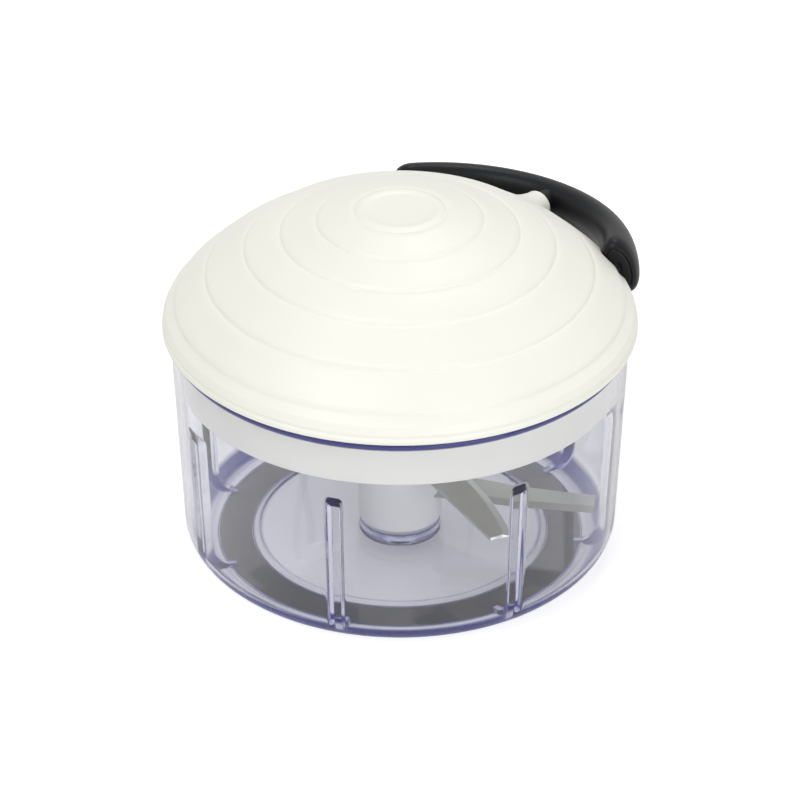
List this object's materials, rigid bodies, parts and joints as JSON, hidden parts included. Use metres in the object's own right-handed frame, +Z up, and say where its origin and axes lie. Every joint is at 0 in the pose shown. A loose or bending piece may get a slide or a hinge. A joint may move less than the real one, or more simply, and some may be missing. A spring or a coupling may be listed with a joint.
{
  "type": "pull cord food chopper",
  "caption": "Clear round bowl under a stepped domed lid; a bow handle pulls a cord that turns a drum and spins flat blades on a central pin.",
  "frame": {"origin": "on the bowl's axis, in the plane that the bowl stands on", "axes": "+Z up along the axis of the bowl, the blades and the drum; +X towards the nozzle and the handle's middle, the way the cord is pulled"},
  "size_m": [0.1541, 0.1404, 0.1115],
  "materials": {
    "clear_plastic": "clear, glossy, faint violet tint",
    "white_plastic": "warm white, semi-gloss",
    "hub_plastic": "satin",
    "inner_plastic": "matt",
    "black_plastic": "satin black",
    "grey_rubber": "matt grey",
    "blade_steel": "brushed, grey-green",
    "bright_steel": "bright",
    "white_cord": "woven cord"
  },
  "bodies": {
    "bowl": {"bowl": "clear_plastic", "anti_slip_ring": "grey_rubber", "center_pin": "bright_steel"},
    "blade_unit": {"blade_hub": "hub_plastic", "lower_blade": "blade_steel", "middle_blade": "blade_steel", "upper_blade": "blade_steel"},
    "lid": {"lid_cover": "white_plastic", "lid_base": "white_plastic", "shaft_bushing": "inner_plastic", "cord_eyelet": "bright_steel", "mechanism_cover": "inner_plastic", "pull_cord": "white_cord", "mechanism_screw_1": "bright_steel", "mechanism_screw_2": "bright_steel", "mechanism_screw_3": "bright_steel", "lid_screw_1": "bright_steel", "lid_screw_2": "bright_steel", "lid_screw_3": "bright_steel"},
    "drum": {"cord_drum": "inner_plastic", "wound_cord": "white_cord", "recoil_spring": "bright_steel"},
    "drive": {"drive_shaft": "inner_plastic"},
    "pawl_1": {"drive_pawl_1": "bright_steel"},
    "pawl_2": {"drive_pawl_2": "bright_steel"},
    "handle": {"pull_handle": "black_plastic", "handle_plug": "black_plastic", "cord_knot": "white_cord"}
  },
  "joints": [
    {"name": "lid_lift", "type": "slide", "parent": "bowl", "child": "lid", "axis": [0, 0, 1], "range_m": [0, 0.12]},
    {"name": "handle_pull", "type": "slide", "parent": "lid", "child": "handle", "axis": [1, 0, 0], "range_m": [0, 0.3], "stiffness_N_per_m": 10, "springref_m": -0.3, "deforming": ["pull_cord"]},
    {"name": "drum_spin", "type": "hinge", "parent": "lid", "child": "drum", "pos_m": [0, 0, 0.086], "axis": [0, 0, 1], "range_deg": [0, 910], "deforming": ["recoil_spring"]},
    {"name": "drive_spin", "type": "hinge", "parent": "lid", "child": "drive", "pos_m": [0, 0, 0.07], "axis": [0, 0, 1], "range_deg": [0, 910]},
    {"name": "blade_spin", "type": "hinge", "parent": "bowl", "child": "blade_unit", "pos_m": [0, 0, 0.03], "axis": [0, 0, 1], "range_deg": [0, 910]},
    {"name": "pawl_1_swing", "type": "hinge", "parent": "drum", "child": "pawl_1", "pos_m": [0.016, 0, 0.077], "axis": [0, 0, -1], "range_deg": [0, 12], "stiffness_Nm_per_rad": 0.0002, "springref_deg": -11.46},
    {"name": "pawl_2_swing", "type": "hinge", "parent": "drum", "child": "pawl_2", "pos_m": [-0.016, 0, 0.077], "axis": [0, 0, -1], "range_deg": [0, 12], "stiffness_Nm_per_rad": 0.0002, "springref_deg": -11.46}
  ],
  "couplings": [
    {"joint": "drum_spin", "follows": "handle_pull", "rad_per_m": 52.083},
    {"joint": "drive_spin", "follows": "handle_pull", "rad_per_m": 52.083},
    {"joint": "blade_spin", "follows": "handle_pull", "rad_per_m": 52.083}
  ]
}
